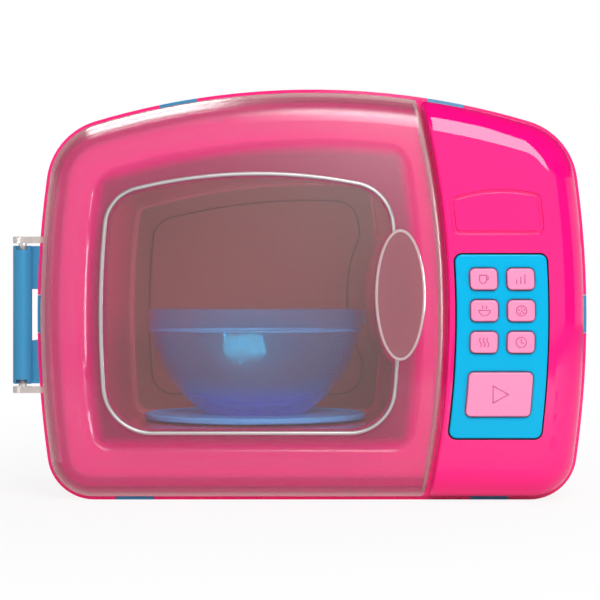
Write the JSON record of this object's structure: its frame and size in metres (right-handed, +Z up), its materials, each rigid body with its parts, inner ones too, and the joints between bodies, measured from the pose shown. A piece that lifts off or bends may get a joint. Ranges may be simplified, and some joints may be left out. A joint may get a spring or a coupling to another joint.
{
  "type": "toy microwave oven",
  "caption": "Toy microwave with a hinged see-through door, sprung press keys on a control panel, and a turntable that carries a lift-out bowl in the cavity.",
  "frame": {"origin": "centre of the flat base of the body, on the surface it stands on", "axes": "+X to the right as seen from the front, +Y from the door to the back, +Z up"},
  "size_m": [0.2862, 0.1746, 0.205],
  "materials": {
    "pink_body": "glossy moulded pink",
    "pink_front": "glossy moulded pink",
    "blue_clips": "satin moulded blue",
    "pink_liner": "satin moulded pink",
    "pink_back": "satin moulded pink",
    "blue_keypad": "glossy moulded bright blue",
    "blue_hinge": "satin moulded blue",
    "pale_pink_keys": "satin moulded pale pink",
    "smoky_clear": "see-through smoky grey",
    "smoky_pull": "see-through smoky grey",
    "clear_blue": "see-through blue",
    "clear_smoke_blue": "see-through grey blue",
    "silver_trim": "glossy silver",
    "white_inner": "plain white",
    "screw_steel": "plain steel"
  },
  "bodies": {
    "case": {"body_shell": "pink_body", "front_fascia": "pink_front", "cavity_liner": "pink_liner", "cavity_back_panel": "pink_back", "hinge_bracket": "blue_hinge", "hinge_screws": "screw_steel", "catch_spring": "white_inner", "keypad_panel": "blue_keypad", "key_spring_plate": "white_inner", "keypad_screws": "screw_steel", "liner_screws": "screw_steel", "rear_screws": "screw_steel", "turntable_spindle": "white_inner", "clip_top_left": "blue_clips", "clip_top_right": "blue_clips", "clip_right": "blue_clips", "clip_bottom_right": "blue_clips", "clip_bottom_left": "blue_clips", "clip_left": "blue_clips"},
    "door": {"door": "smoky_clear", "window_trim": "silver_trim", "door_pull": "smoky_pull"},
    "turntable": {"turntable": "clear_blue"},
    "bowl": {"bowl": "clear_smoke_blue"},
    "key_1": {"key_1": "pale_pink_keys"},
    "key_2": {"key_2": "pale_pink_keys"},
    "key_3": {"key_3": "pale_pink_keys"},
    "key_4": {"key_4": "pale_pink_keys"},
    "key_5": {"key_5": "pale_pink_keys"},
    "key_6": {"key_6": "pale_pink_keys"},
    "start_key": {"start_key": "pale_pink_keys"}
  },
  "joints": [
    {"name": "door_hinge", "type": "hinge", "parent": "case", "child": "door", "pos_m": [-0.14425, -0.0795, 0.0924], "axis": [0, 0, -1], "range_deg": [0, 115]},
    {"name": "turntable_spin", "type": "hinge", "parent": "case", "child": "turntable", "pos_m": [-0.03, -0.004, 0.036], "axis": [0, 0, 1], "continuous": true},
    {"name": "bowl_lift", "type": "slide", "parent": "turntable", "child": "bowl", "axis": [0, 0, 1], "range_m": [0, 0.04]},
    {"name": "key_1_press", "type": "slide", "parent": "case", "child": "key_1", "axis": [0, 1, 0], "range_m": [0, 0.0018], "stiffness_N_per_m": 400, "deforming": ["key_spring_plate"]},
    {"name": "key_2_press", "type": "slide", "parent": "case", "child": "key_2", "axis": [0, 1, 0], "range_m": [0, 0.0018], "stiffness_N_per_m": 400, "deforming": ["key_spring_plate"]},
    {"name": "key_3_press", "type": "slide", "parent": "case", "child": "key_3", "axis": [0, 1, 0], "range_m": [0, 0.0018], "stiffness_N_per_m": 400, "deforming": ["key_spring_plate"]},
    {"name": "key_4_press", "type": "slide", "parent": "case", "child": "key_4", "axis": [0, 1, 0], "range_m": [0, 0.0018], "stiffness_N_per_m": 400, "deforming": ["key_spring_plate"]},
    {"name": "key_5_press", "type": "slide", "parent": "case", "child": "key_5", "axis": [0, 1, 0], "range_m": [0, 0.0018], "stiffness_N_per_m": 400, "deforming": ["key_spring_plate"]},
    {"name": "key_6_press", "type": "slide", "parent": "case", "child": "key_6", "axis": [0, 1, 0], "range_m": [0, 0.0018], "stiffness_N_per_m": 400, "deforming": ["key_spring_plate"]},
    {"name": "start_key_press", "type": "slide", "parent": "case", "child": "start_key", "axis": [0, 1, 0], "range_m": [0, 0.0018], "stiffness_N_per_m": 400, "deforming": ["key_spring_plate"]}
  ]
}
